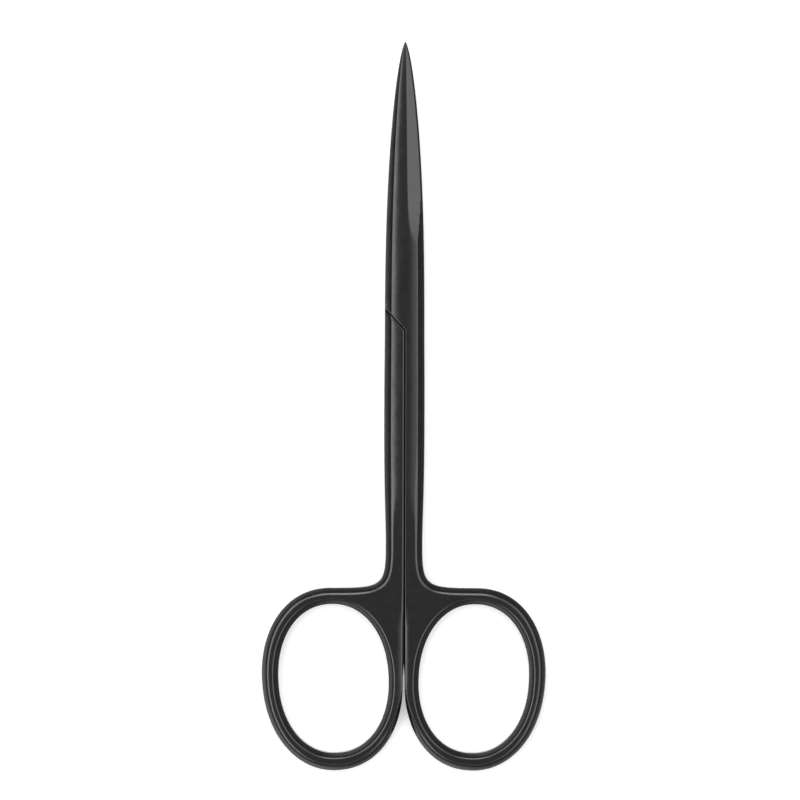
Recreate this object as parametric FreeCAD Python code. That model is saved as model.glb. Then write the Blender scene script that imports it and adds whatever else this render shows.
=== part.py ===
import FreeCAD, Part
import math
import os

# Iris scissors, closed and lying flat. X is to the right, Y runs to the tips, Z is up.
# The origin is on the pivot axis, in the plane that the scissors rest on.
# The halves are one forging, used twice: the rear half is the front half turned over.
# All lengths are in millimetres.

# Blades
blade_length = 37.5
outline_run = 45.0
joint_half_width = 3.1
outline_fullness = 2.3
outline_point = 0.67
tip_cut = 0.05
tip_wall = 0.1
full_thickness_rise = 2.0

# Section of joint and shanks
half_thickness = 1.6
bevel_share = 0.33
bevel_slope = 37.0
crown_slope = 6.0

# Cutting edge and its ground bevel
edge_setback = 0.32
edge_softness = 0.35
facet_slope = 18.0
facet_heel_slope = 12.5
facet_full_y = 14.0
facet_heel_y = 6.0
facet_share = 0.115
facet_swing = 12.0
facet_heel = 3.0
facet_softness = 0.8
flare_start = 8.5
flare_end = 4.0
flare_overrun = 0.1
hollow_depth = 0.06
hollow_radius = 22.0
hollow_start = 6.0
hollow_end = 30.0
hollow_shift = 0.25

# Shanks, as distances below the pivot
shank_half_width = 3.16
widest_drop = 18.5
waist_half_width = 2.86
waist_drop = 42.0
crown_fade_drop = 33.0

# Lap joint, and the clearances between the halves
lap_outer_drop = 4.77
lap_outer_reach = 3.04
lap_inner_drop = 8.07
lap_corner_radius = 0.5
lap_clearance = 0.06
seam_clearance = 0.1
face_clearance = 0.01
seam_break = 0.2
break_overrun = 0.1

# Finger rings
ring_half_width = 11.06
ring_half_height = 14.39
ring_lean = 5.19
ring_squareness = 2.117
ring_drop = 63.06
ring_clearance = 0.15
ring_bevel = 0.9
bevel_start_angle = 194.0
bevel_full_angle = 216.0
corner_pull_shank = 0.98
corner_pull_ring = 0.94
hole_half_width = 8.68
hole_half_height = 11.73
hole_lean = 3.1
hole_squareness = 2.136
hole_shift_x = -0.2
hole_shift_y = 0.1
hole_bevel = 0.87

# Pivot screw
screw_radius = 1.2
thread_radius = 1.0
head_radius = 1.75
head_height = 0.75
head_chamfer = 0.1
slot_width = 0.5
slot_depth = 0.35
skin_over_thread = 0.35
thread_end_clearance = 0.1
turning_clearance = 0.02
head_clearance = 0.05

# Reach of the cutting bodies past the part
past = 1.0
# How near a point counts as on a line
touch = 0.001

bevel_fall = math.tan(math.radians(bevel_slope))
crown_rise = math.tan(math.radians(crown_slope))
full_width_y = blade_length - outline_run


def point(x, y, z=0.0):
    return FreeCAD.Vector(x, y, z)


def ease(share):
    """A smooth step from 0 to 1."""
    share = min(max(share, 0.0), 1.0)
    return share * share * (3.0 - 2.0 * share)


def half_width(y):
    """Half the width of the closed scissors, from the tip down to the waist."""
    if y > full_width_y:
        left = (y - full_width_y) / outline_run
        return joint_half_width * (1.0 - left**outline_fullness) ** outline_point
    if y > -widest_drop:
        share = (full_width_y - y) / (full_width_y + widest_drop)
        return joint_half_width + (shank_half_width - joint_half_width) * ease(share)
    share = (-widest_drop - y) / (waist_drop - widest_drop)
    return shank_half_width - (shank_half_width - waist_half_width) * ease(share * share)


def top_height(y):
    """Height of the outer face's centre line above the plane between the halves."""
    if y < full_width_y:
        return half_thickness
    fall_share = (1.0 - bevel_share) * crown_rise + bevel_share * bevel_fall
    joint_wall = half_thickness - joint_half_width * fall_share
    share = (blade_length - y) / (blade_length - full_thickness_rise)
    wall = tip_wall + (joint_wall - tip_wall) * ease(share * share)
    return wall + half_width(y) * fall_share


def ridge_reach(y):
    """Distance of the ridge between outer face and edge bevel from the centre line."""
    return half_width(y) * (1.0 - bevel_share)


def crown_drop(y):
    """Fall of the crowned outer face from its centre to the ridge."""
    fade = 1.0 - ease((-crown_fade_drop - y) / (waist_drop - crown_fade_drop))
    return ridge_reach(y) * crown_rise * fade


def line(start, end):
    return Part.makeLine(start, end)


def polygon(points):
    return Part.makePolygon(points + points[:1])


def curve_through(points):
    curve = Part.BSplineCurve()
    curve.interpolate(points)
    return curve.toShape()


def crown_edge(side, height, crest, y):
    """The crowned line across a face, from one ridge to the other."""
    curve = Part.BezierCurve()
    middle = point(0, y, 2.0 * crest - height)
    curve.setPoles([point(side, y, height), middle, point(-side, y, height)])
    return curve.toShape()


def bar_section(y):
    """The whole closed section: side walls, edge bevels and crowned faces."""
    width = half_width(y)
    ridge = ridge_reach(y)
    crest = top_height(y)
    shoulder = crest - crown_drop(y)
    wall = shoulder - (width - ridge) * bevel_fall
    edges = [
        line(point(width, y, -wall), point(width, y, wall)),
        line(point(width, y, wall), point(ridge, y, shoulder)),
        crown_edge(ridge, shoulder, crest, y),
        line(point(-ridge, y, shoulder), point(-width, y, wall)),
        line(point(-width, y, wall), point(-width, y, -wall)),
        line(point(-width, y, -wall), point(-ridge, y, -shoulder)),
        crown_edge(-ridge, -shoulder, -crest, y),
        line(point(ridge, y, -shoulder), point(width, y, -wall)),
    ]
    return Part.Wire(edges)


def bar():
    """Blades, joint and shanks of both halves as one bar, from the tip to the waist."""
    blade_stations = 18
    shank_stations = 7
    stations = []
    for i in range(blade_stations):
        share = (i / blade_stations) ** 2.2
        stations.append(blade_length - tip_cut - share * (outline_run - tip_cut))
    for i in range(shank_stations + 1):
        share = i / shank_stations
        stations.append(full_width_y - share * (full_width_y + waist_drop))
    return Part.makeLoft([bar_section(y) for y in stations], True, False)


def rounded_corner(before, corner, after, radius):
    """An arc that rounds a corner, with the two points where it starts and ends."""
    to_before = (before - corner).normalize()
    to_after = (after - corner).normalize()
    half_angle = to_before.getAngle(to_after) / 2.0
    start = corner + to_before * (radius / math.tan(half_angle))
    end = corner + to_after * (radius / math.tan(half_angle))
    bisector = (to_before + to_after).normalize()
    middle = corner + bisector * (radius / math.sin(half_angle) - radius)
    return Part.Arc(start, middle, end).toShape(), start, end


def outer_height(x, y):
    """Height of the outer surface over a point of the plan, on the crown or on the edge bevel."""
    ridge = ridge_reach(y)
    across = abs(x)
    if across < ridge:
        return top_height(y) - crown_drop(y) * (across / ridge) ** 2
    return top_height(y) - crown_drop(y) - (across - ridge) * bevel_fall


def lap_point(x, clearance):
    """A point of the slanting lap edge, moved up the page by a clearance at right angles to it."""
    slope = (lap_inner_drop - lap_outer_drop) / lap_outer_reach
    return point(x, -lap_inner_drop - slope * x + clearance * math.hypot(1.0, slope))


def seam_path(side):
    """The front half's edge along seam and lap in plan: the foot, a rounded corner, the lap.

    Side 1 is above the plane between the halves, where the lap runs up to the left.
    Side -1 is below it, where the lap runs up to the right and ends the shank."""
    far = 2.0 * joint_half_width
    foot = point(seam_clearance, -waist_drop)
    inner = lap_point(side * seam_clearance, side * lap_clearance / 2.0)
    outer = lap_point(-far, side * lap_clearance / 2.0)
    inner = point(seam_clearance, inner.y)
    outer = point(-side * far, outer.y)
    arc, start, end = rounded_corner(foot, inner, outer, lap_corner_radius)
    return foot, arc, start, end, outer


def region(side):
    """Plan of the front half on one side of the plane between the halves."""
    far = 2.0 * joint_half_width
    foot, arc, start, end, outer = seam_path(side)
    corners = [outer, point(far, -waist_drop), foot]
    if side > 0:
        top = blade_length + past
        corners = [outer, point(-far, top), point(far, top), point(far, -waist_drop), foot]
    edges = [line(foot, start), arc, line(end, outer)]
    for begin, finish in zip(corners, corners[1:]):
        edges.append(line(begin, finish))
    return Part.Face(Part.Wire(edges))


def break_section(place, along, side):
    """Section of the cut that breaks the sharp edge, at one place of the seam path."""
    across = point(along.y, -along.x).normalize()
    inner = place + across * seam_break
    foot_height = outer_height(place.x, place.y) - seam_break
    head_height = outer_height(inner.x, inner.y)
    rise = (head_height - foot_height) / seam_break
    low = place - across * break_overrun
    high = inner + across * break_overrun
    top = head_height + rise * break_overrun
    corners = [
        point(low.x, low.y, side * (foot_height - rise * break_overrun)),
        point(high.x, high.y, side * top),
        point(high.x, high.y, side * (top + break_overrun)),
        point(low.x, low.y, side * (top + break_overrun)),
    ]
    return polygon(corners)


def break_cutter(side):
    """What a stone takes off the outer edge along the seam, round the corner and along the lap."""
    foot, arc, start, end, outer = seam_path(side)
    up_seam = (start - foot).normalize()
    up_lap = (outer - end).normalize()
    sections = [break_section(foot - up_seam * break_overrun, up_seam, side)]
    arc_steps = 4
    for i in range(arc_steps + 1):
        turned = (up_seam * (arc_steps - i) + up_lap * i).normalize()
        sweep = arc.LastParameter - arc.FirstParameter
        spot = arc.valueAt(arc.FirstParameter + sweep * i / arc_steps)
        sections.append(break_section(spot, turned, side))
    ridge = ridge_reach(-lap_outer_drop)
    width = half_width(-lap_outer_drop)
    for reach in (ridge / 4, ridge / 2, ridge * 3 / 4, ridge, width, width + break_overrun):
        place = lap_point(-reach, side * lap_clearance / 2.0)
        sections.append(break_section(point(-side * reach, place.y), up_lap, side))
    return Part.makeLoft(sections, True, True)


def half_of_bar():
    """The front half's share of the bar, split at the seam and the lap, its edges broken."""
    high = half_thickness + past
    upper = region(1).extrude(point(0, 0, high - face_clearance))
    upper.translate(point(0, 0, face_clearance))
    lower = region(-1).extrude(point(0, 0, high + face_clearance))
    lower.translate(point(0, 0, -high))
    half = bar().common(upper.fuse(lower).removeSplitter())
    return half.cut([break_cutter(1), break_cutter(-1)])


def oval_point(angle, centre, half_wide, half_high, lean, squareness):
    """A point of a ring's oval, a slightly squared ellipse that leans outwards."""
    turn = math.radians(angle)
    tilt = math.radians(lean)
    across = math.cos(turn)
    along = math.sin(turn)
    reach = (abs(across / half_wide) ** squareness + abs(along / half_high) ** squareness)
    reach = reach ** (-1.0 / squareness)
    across *= reach
    along *= reach
    x = centre.x + across * math.cos(tilt) + along * math.sin(tilt)
    y = centre.y - across * math.sin(tilt) + along * math.cos(tilt)
    return point(x, y)


def ring_point(angle, centre):
    return oval_point(angle, centre, ring_half_width, ring_half_height, ring_lean, ring_squareness)


def angle_of(measure, about):
    """The angle of the ring's outline, near a given one, at which a measure is least."""
    steps = 2000
    swing = 30.0
    angles = [about + swing * (2.0 * i / steps - 1.0) for i in range(steps + 1)]
    return min(angles, key=measure)


def ring_place():
    """The ring's centre, and the angles of its points at the seam and at the top."""
    rough = point(0, -ring_drop)
    seam_angle = angle_of(lambda angle: ring_point(angle, rough).x, 180.0)
    top_angle = angle_of(lambda angle: -ring_point(angle, rough).y, 90.0)
    centre = point(ring_clearance - ring_point(seam_angle, rough).x, -ring_drop)
    return centre, seam_angle, top_angle + 360.0


def ring_edge_bevel(angle, top_angle):
    """Width and depth of the ring's outer bevel: small at the seam, full round to the top."""
    opening = ease((angle - bevel_start_angle) / (bevel_full_angle - bevel_start_angle))
    rise = ease((angle - 360.0) / (top_angle - 360.0))
    waist_bevel = waist_half_width * bevel_share
    full = ring_bevel + (waist_bevel - ring_bevel) * rise
    width = seam_break + (full - seam_break) * opening
    depth = seam_break + (full * bevel_fall - seam_break) * opening
    return width, depth


def outline_curves():
    """The handle's outline as points, each with the width and depth of the bevel there.

    The first list follows the ring from the seam round to its top,
    the second the hollow corner from the ring's top up to the waist."""
    centre, seam_angle, top_angle = ring_place()
    ring_steps = 30
    ring = []
    for i in range(ring_steps + 1):
        angle = seam_angle + (top_angle - seam_angle) * i / ring_steps
        ring.append((ring_point(angle, centre), *ring_edge_bevel(angle, top_angle)))
    top = ring[-1][0]
    waist = point(waist_half_width, -waist_drop)
    meeting = point(waist.x, top.y)
    pull_ring = top + (meeting - top) * corner_pull_ring
    pull_shank = waist + (meeting - waist) * corner_pull_shank
    curve = Part.BezierCurve()
    curve.setPoles([top, pull_ring, pull_shank, waist])
    corner_steps = 14
    width = waist_half_width * bevel_share
    depth = width * bevel_fall
    corner = [(curve.value(i / corner_steps), width, depth) for i in range(corner_steps + 1)]
    return ring, corner


def inward(points):
    """Unit vectors at each point of a run, at right angles and into the material."""
    directions = []
    for i, here in enumerate(points):
        before = points[max(i - 1, 0)]
        after = points[min(i + 1, len(points) - 1)]
        along = after - before
        directions.append(point(-along.y, along.x).normalize())
    return directions


def handle_wire(level, inset, ring, corner):
    """One edge line of the handle: its foot line (inset 0) or its ridge line (inset 1)."""
    runs = []
    for run, first, last in ((ring, point(1, 0), point(0, -1)), (corner, point(0, -1), point(-1, 0))):
        across = inward([p for p, width, depth in run])
        across[0] = first
        across[-1] = last
        points = []
        for (p, width, depth), direction in zip(run, across):
            height = half_thickness - depth * (1.0 - inset)
            place = p + direction * (width * inset)
            points.append(point(place.x, place.y, level * height))
        runs.append(points)
    height = half_thickness - seam_break * (1.0 - inset)
    seam_top = point(seam_clearance + seam_break * inset, -waist_drop, level * height)
    edges = [
        line(seam_top, runs[0][0]),
        curve_through(runs[0]),
        curve_through(runs[1]),
        line(runs[1][-1], seam_top),
    ]
    return Part.Wire(edges)


def hole_wire(level, grow):
    """The opening's edge at one height, grown by the width of its bevel at the faces."""
    centre = ring_place()[0] + point(hole_shift_x, hole_shift_y)
    steps = 32
    points = []
    for i in range(steps):
        place = oval_point(360.0 * i / steps, centre, hole_half_width + grow,
                           hole_half_height + grow, hole_lean, hole_squareness)
        points.append(point(place.x, place.y, level))
    curve = Part.BSplineCurve()
    curve.interpolate(points, PeriodicFlag=True)
    return Part.Wire(curve.toShape())


def handle():
    """The finger ring with the web that carries it, below the waist."""
    ring, corner = outline_curves()
    levels = [(-1, 1), (-1, 0), (1, 0), (1, 1)]
    body = Part.makeLoft([handle_wire(side, inset, ring, corner) for side, inset in levels], True, True)
    wall = half_thickness - hole_bevel * bevel_fall
    above = half_thickness + past
    flare = hole_bevel + past / bevel_fall
    hole = [(-above, flare), (-wall, 0.0), (wall, 0.0), (above, flare)]
    opening = Part.makeLoft([hole_wire(level, grow) for level, grow in hole], True, True)
    return body.cut(opening)


def edge_strip(y):
    """Width of the dark strip beyond the ground bevel: the edge's own wall and the other blade."""
    width = half_width(y)
    return edge_setback * width / (width + edge_softness)


def facet_section(y):
    """Section of what the grinding takes off: beyond the edge, and above the ground bevel."""
    width = half_width(y)
    strip = edge_strip(y)
    flare = ease((flare_start - y) / (flare_start - flare_end))
    edge = width - strip / 2.0 + (strip / 2.0 + flare_overrun * width) * flare
    lip = edge - strip / 2.0
    start = width * facet_share + facet_swing / ((y - facet_heel) ** 2 + facet_softness)
    ground = ease((y - facet_heel_y) / (facet_full_y - facet_heel_y))
    slope = facet_heel_slope + (facet_slope - facet_heel_slope) * ground
    fall = math.tan(math.radians(slope))
    start_height = outer_height(min(start, ridge_reach(y)), y)
    high = half_thickness + past
    wide = 2.0 * joint_half_width
    corners = [
        point(edge, y, -past),
        point(edge, y, face_clearance),
        point(lip, y, start_height - (lip - start) * fall),
        point(start - (high - start_height) / fall, y, high),
        point(wide, y, high),
        point(wide, y, -past),
    ]
    return polygon(corners)


def facet_cutter():
    stations = []
    steps = 14
    for i in range(steps + 1):
        share = (i / steps) ** 1.8
        stations.append(flare_end + share * (blade_length - flare_end))
    return Part.makeLoft([facet_section(y) for y in stations], True, False)


def hollow_cutter():
    """A barrel that leaves a shallow hollow in the inner face, clear of edge and spine."""
    middle = (hollow_start + hollow_end) / 2.0
    axis_height = face_clearance - hollow_radius
    start = point(-hollow_shift, hollow_start, face_clearance)
    crown = point(-hollow_shift, middle, face_clearance + hollow_depth)
    end = point(-hollow_shift, hollow_end, face_clearance)
    axis_start = point(-hollow_shift, hollow_start, axis_height)
    axis_end = point(-hollow_shift, hollow_end, axis_height)
    side = [
        Part.Arc(start, crown, end).toShape(),
        line(end, axis_end),
        line(axis_end, axis_start),
        line(axis_start, start),
    ]
    return Part.Face(Part.Wire(side)).revolve(axis_start, point(0, 1, 0), 360.0)


def forging():
    """One half as it is forged and ground, before the pivot is drilled."""
    ground = half_of_bar().cut(facet_cutter()).cut(hollow_cutter())
    return ground.fuse(handle()).removeSplitter()


def disc(radius, low, high):
    """A round body on the pivot axis between two heights."""
    return Part.makeCylinder(radius, high - low, point(0, 0, low))


def front_half():
    """The half whose blade and ring show from the front, with the screw's blind hole."""
    thread_hole = disc(thread_radius + turning_clearance, 0.0, half_thickness - skin_over_thread)
    return forging().cut(thread_hole)


def rear_half():
    """The same forging turned over, with the screw's clearance hole and the seat of its head."""
    half = forging()
    half.rotate(point(0, 0, 0), point(0, 1, 0), 180.0)
    seat_height = head_height + turning_clearance - half_thickness
    hole = disc(screw_radius + turning_clearance, -half_thickness - past, past)
    seat = disc(head_radius + head_clearance, -half_thickness - past, seat_height)
    return half.cut(hole.fuse(seat))


def pivot_screw():
    """A slotted screw with a plain shank, whose shoulder seats on the front half."""
    head = disc(head_radius, -half_thickness, head_height - half_thickness)
    rim = [edge for edge in head.Edges if edge.CenterOfMass.z < touch - half_thickness]
    head = head.makeChamfer(head_chamfer, rim)
    shank = disc(screw_radius, head_height - half_thickness, face_clearance)
    thread_end = half_thickness - skin_over_thread - thread_end_clearance
    thread = disc(thread_radius, face_clearance, thread_end)
    slot_start = point(-2.0 * head_radius, -slot_width / 2.0, -half_thickness - past)
    slot = Part.makeBox(4.0 * head_radius, slot_width, past + slot_depth, slot_start)
    return head.fuse([shank, thread]).removeSplitter().cut(slot)


def main():
    os.makedirs("parts", exist_ok=True)
    pieces = {
        "front_half": front_half(),
        "rear_half": rear_half(),
        "pivot_screw": pivot_screw(),
    }
    for name, shape in pieces.items():
        shape.translate(point(0, 0, half_thickness))
        shape.exportStep("parts/" + name + ".step")
        box = shape.optimalBoundingBox(False, False)
        print(name, "valid", shape.isValid(), "solids", len(shape.Solids), "volume", round(shape.Volume, 2))
        print("  box", [round(v, 3) for v in (box.XMin, box.XMax, box.YMin, box.YMax, box.ZMin, box.ZMax)])


main()
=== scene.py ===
# %% [markdown]
# # Iris scissors in a black coat
#
# These are small, straight, sharp-pointed scissors. Two equal halves lie one on the other and turn
# on a screw that goes in from the back. The steel has a smooth black coat with a satin gloss.
#
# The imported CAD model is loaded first. It gives the sizes, the bodies that move and the place of
# everything. This lesson then builds a finer skin for the two halves, in which every ridge is
# slightly rounded, because on a glossy black object it is these rounded ridges that show its shape.

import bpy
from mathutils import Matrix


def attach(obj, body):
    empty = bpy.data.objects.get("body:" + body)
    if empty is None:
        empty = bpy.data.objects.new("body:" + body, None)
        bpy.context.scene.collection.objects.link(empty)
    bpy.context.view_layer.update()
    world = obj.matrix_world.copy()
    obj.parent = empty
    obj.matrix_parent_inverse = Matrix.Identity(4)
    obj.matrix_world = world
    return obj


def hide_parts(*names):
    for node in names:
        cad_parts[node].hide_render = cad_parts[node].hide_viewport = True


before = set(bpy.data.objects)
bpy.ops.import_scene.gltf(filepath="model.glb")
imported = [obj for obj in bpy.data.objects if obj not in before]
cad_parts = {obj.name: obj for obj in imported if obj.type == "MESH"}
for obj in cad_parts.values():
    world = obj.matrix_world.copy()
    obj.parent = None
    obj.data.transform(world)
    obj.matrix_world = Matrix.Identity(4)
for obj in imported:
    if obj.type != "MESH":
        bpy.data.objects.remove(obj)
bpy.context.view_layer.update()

# %% [markdown]
# ## Where the camera stands
#
# The scissors lie on a white table and the camera looks straight down on them. A long lens from
# 0.7 m keeps both rings and the tip free of perspective. The picture is 800 pixels wide and shows
# 125.9 mm at the height of their upper face. In the picture the tip leans a little to the right,
# so the camera is turned by the same small angle.

# %% Camera
import bpy
import math
import numpy as np
from mathutils import Vector
from mathutils.geometry import delaunay_2d_cdt

mm = 0.001
scene = bpy.context.scene
view_width = 125.9 * mm
lens, sensor = 200.0, 36.0
camera_height = view_width * lens / sensor
scissors_height = 3.2 * mm
view_centre = (-0.7 * mm, -19.06 * mm)
lean = 0.155

camera = bpy.data.objects.new("camera", bpy.data.cameras.new("camera"))
scene.collection.objects.link(camera)
camera.data.lens = lens
camera.data.sensor_width = sensor
camera.location = (*view_centre, camera_height + scissors_height)
camera.rotation_euler = (0.0, 0.0, math.radians(lean))
scene.camera = camera
scene.view_settings.view_transform = "Standard"
print("camera height in mm", round(camera_height / mm))

# %% [markdown]
# ## The plan of one half
#
# Both halves are the same forging, used twice. Its plan is drawn from a few formulas, the same
# ones that the CAD source uses, so the skin lies where the solid does, to a few hundredths of a
# millimetre. One could also take the CAD mesh and bevel its edges, but a bevel on long thin
# triangles gives blotchy reflections. Lengths in these cells are in millimetres, and heights are
# counted from the plane in which the two halves meet.

# %% Sizes of blade and shank
blade_length, outline_run = 37.5, 45.0
outline_fullness, outline_point, tip_cut = 2.3, 0.67, 0.05
joint_half_width, shank_half_width, waist_half_width = 3.13, 3.19, 2.89
widest_drop, waist_drop = 18.5, 42.0
full_width_y = blade_length - outline_run
tip_y = blade_length - tip_cut


def ease(share):
    """A smooth way from 0 to 1."""
    share = np.clip(share, 0.0, 1.0)
    return share * share * (3.0 - 2.0 * share)


def half_width(y):
    """Half the width of the closed scissors at each y."""
    left = np.clip((y - full_width_y) / outline_run, 0.0, 1.0)
    blade = joint_half_width * (1.0 - left**outline_fullness) ** outline_point
    upper = (full_width_y - y) / (full_width_y + widest_drop)
    shank = joint_half_width + (shank_half_width - joint_half_width) * ease(upper)
    lower = np.clip((-widest_drop - y) / (waist_drop - widest_drop), 0.0, 1.0)
    shank = shank - (shank_half_width - waist_half_width) * ease(lower**2)
    return np.where(y > full_width_y, blade, shank)


for label, y in (("mid-blade", 18.0), ("joint", 0.0), ("shank", -20.0), ("waist", -waist_drop)):
    print("half width at the", label, round(float(half_width(np.array(y))), 2))

# %% [markdown]
# ## Crown and bevels
#
# The outer face of the bar is a crown: a flat arch that falls by 12 degrees at its two ridges.
# Outside the ridges the edge bevels fall by about 37 degrees. They are slightly full, as
# hand-polished bevels are. On the blade the whole section gets thinner towards the tip.

# %% Crown and thickness
half_thickness, tip_wall, full_thickness_rise = 1.6, 0.1, 2.0
bevel_share = 0.345
bevel_fall = math.tan(math.radians(37.0))
crown_rise = math.tan(math.radians(6.0))
crown_fade_drop = 33.0
crown_fall_share = (1.0 - bevel_share) * crown_rise + bevel_share * bevel_fall
joint_wall = half_thickness - joint_half_width * crown_fall_share


def top_height(y):
    """Height of the middle of the outer face."""
    share = np.clip((blade_length - y) / (blade_length - full_thickness_rise), 0.0, 1.0)
    wall = tip_wall + (joint_wall - tip_wall) * ease(share**2)
    return np.where(y < full_width_y, half_thickness, wall + half_width(y) * crown_fall_share)


def ridge_reach(y):
    """Distance of the ridges from the middle."""
    return half_width(y) * (1.0 - bevel_share)


def crown_drop(y):
    """Fall of the crown from the middle to its ridges."""
    fade = 1.0 - ease((-crown_fade_drop - y) / (waist_drop - crown_fade_drop))
    return ridge_reach(y) * crown_rise * fade


for label, y in (("near the tip", 37.0), ("at mid-blade", 18.0), ("at the joint", 0.0)):
    print("height", label, round(float(top_height(np.array(y))), 2))

# %% [markdown]
# ## The lap joint
#
# On the front, the blade of one half runs down to a slanting step, and below it the two shanks
# lie side by side along a seam. The path of this edge is a straight line up the seam, a small
# arc and a straight line out to the side. On the inner side of the same half the step is
# mirrored. In the photograph the seam is a fine black line between two thin light ones, and the
# lap is a black line too, so the skins leave a little more room there than the solids do. The
# edges of the seam are rounded, on the blade's side (1) less than on the other (-1). A boolean
# could cut the step as well, but a path of points also says how far away each point is from it.

# %% Seam and lap
lap_outer_drop, lap_outer_reach, lap_inner_drop = 4.77, 3.04, 8.07
lap_corner_radius, lap_arc_steps, lap_far_reach = 0.5, 8, 4.0
lap_clearance, seam_clearance, face_clearance = 0.2, 0.11, 0.01
lap_slope = (lap_inner_drop - lap_outer_drop) / lap_outer_reach
seam_round = {1: 0.16, -1: 0.3}
seam_round_end = {1: math.radians(70.0), -1: math.radians(22.0)}


def seam_path(side):
    """Points of the half's edge: up the seam, round the corner and out along the lap."""
    clearance = side * lap_clearance / 2.0 * math.hypot(1.0, lap_slope)

    def lap_y(across):
        return -lap_inner_drop - lap_slope * across + clearance

    corner = Vector((seam_clearance, lap_y(side * seam_clearance)))
    out = Vector((-side * 1.0, lap_y(-1.0) - lap_y(0.0))).normalized()
    down = Vector((0.0, -1.0))
    half_angle = down.angle(out) / 2.0
    reach = lap_corner_radius / math.tan(half_angle)
    centre = corner + (down + out).normalized() * (lap_corner_radius / math.sin(half_angle))
    first = corner + down * reach - centre
    turn = first.angle_signed(corner + out * reach - centre)
    arc = []
    for i in range(lap_arc_steps + 1):
        angle = -turn * i / lap_arc_steps
        arc.append(centre + Vector((first.x * math.cos(angle) - first.y * math.sin(angle),
                                    first.x * math.sin(angle) + first.y * math.cos(angle))))
    end = Vector((-side * lap_far_reach, lap_y(-lap_far_reach)))
    return [Vector((seam_clearance, -waist_drop))] + arc + [end]


paths = {side: np.array([tuple(p) for p in seam_path(side)]) for side in (1, -1)}
print("middle of the lap's corner", paths[1][1 + lap_arc_steps // 2].round(2))

# %% [markdown]
# ## Ring and web
#
# The finger ring is a slightly squared ellipse that leans outwards, with a smaller one for the
# opening. A Bezier curve could be bent to it by hand, but the ellipse needs four numbers only. Its
# sizes are a few thousandths of a millimetre under those of the solid, so that the skin stays
# inside the solid's box.

# %% Ovals of the ring
ring_half, ring_lean, ring_squareness = (11.055, 14.385), 5.19, 2.117
ring_drop, ring_clearance = 63.06, 0.15
hole_half, hole_lean, hole_squareness = (8.68, 11.73), 3.1, 2.136
hole_shift, hole_points, search_points = (-0.2, 0.1), 144, 7201


def oval(angle, centre, half, lean_angle, squareness):
    """Points of a squared ellipse, at angles from its centre in degrees."""
    turn, tilt = np.radians(angle), math.radians(lean_angle)
    across, along = np.cos(turn), np.sin(turn)
    powers = np.abs(across / half[0]) ** squareness + np.abs(along / half[1]) ** squareness
    reach = powers ** (-1.0 / squareness)
    across, along = across * reach, along * reach
    x = centre[0] + across * math.cos(tilt) + along * math.sin(tilt)
    y = centre[1] - across * math.sin(tilt) + along * math.cos(tilt)
    return np.stack([x, y], axis=-1)


search = np.linspace(0.0, 360.0, search_points)
rough = oval(search, (0.0, -ring_drop), ring_half, ring_lean, ring_squareness)
seam_angle = search[np.argmin(rough[:, 0])]
top_angle = search[np.argmax(rough[:, 1])] + 360.0
ring_centre = (ring_clearance - rough[:, 0].min(), -ring_drop)
hole_centre = (ring_centre[0] + hole_shift[0], ring_centre[1] + hole_shift[1])
hole_angles = np.linspace(0.0, 360.0, hole_points + 1)[:-1]
hole_run = oval(hole_angles, hole_centre, hole_half, hole_lean, hole_squareness)
print("ring centre", [round(float(v), 2) for v in ring_centre], "angles", seam_angle, top_angle)

# %% [markdown]
# The web that carries the ring grows out of the shank's waist through a hollow corner, drawn as
# one Bezier curve. The outline of the handle is one run of points: down the seam, round the ring
# against the clock, and through the corner up to the waist.

# %% The handle's outline as one run of points
ring_points, corner_points, web_seam_points = 161, 41, 41
corner_pull_ring, corner_pull_shank = 0.94, 0.98


def bezier(poles, count):
    t = np.linspace(0.0, 1.0, count)[:, None]
    p = np.array(poles)
    return ((1 - t) ** 3 * p[0] + 3 * (1 - t) ** 2 * t * p[1] + 3 * (1 - t) * t**2 * p[2] + t**3 * p[3])


ring_angles = np.linspace(seam_angle, top_angle, ring_points)
ring_run = oval(ring_angles, ring_centre, ring_half, ring_lean, ring_squareness)
top = ring_run[-1]
waist = np.array([waist_half_width, -waist_drop])
meeting = np.array([waist[0], top[1]])
corner_run = bezier([top, top + (meeting - top) * corner_pull_ring,
                     waist + (meeting - waist) * corner_pull_shank, waist], corner_points)
seam_run = np.stack([np.linspace(seam_clearance, ring_run[0][0], web_seam_points),
                     np.linspace(-waist_drop, ring_run[0][1], web_seam_points)], axis=-1)
handle_run = np.concatenate([seam_run[:-1], ring_run[:-1], corner_run])
print("points along the handle's outline", len(handle_run))

# %% [markdown]
# Along the seam the handle has no bevel, because the other half lies there. Where the rings part,
# the outer bevel opens from nothing: it is steep at first and reaches its full width at the
# ring's foot. Towards the waist it changes to the width of the shank's bevel. Beside the lower
# seam the web dips a little, which the photograph shows as a soft light band.

# %% Bevel and web along the outline
ring_bevel, hole_bevel = 0.9, 0.87
bevel_start_y, bevel_full_y = -61.5, -73.0
bevel_start_steepness, ring_steepness = 2.2, 1.13
ring_points_to_foot = 60
waist_bevel = waist_half_width * bevel_share
web_dip, web_dip_reach = {1: 0.12, -1: 0.15}, {1: 0.9, -1: 1.3}
web_dip_start, web_dip_full = -49.0, -55.5

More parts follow.
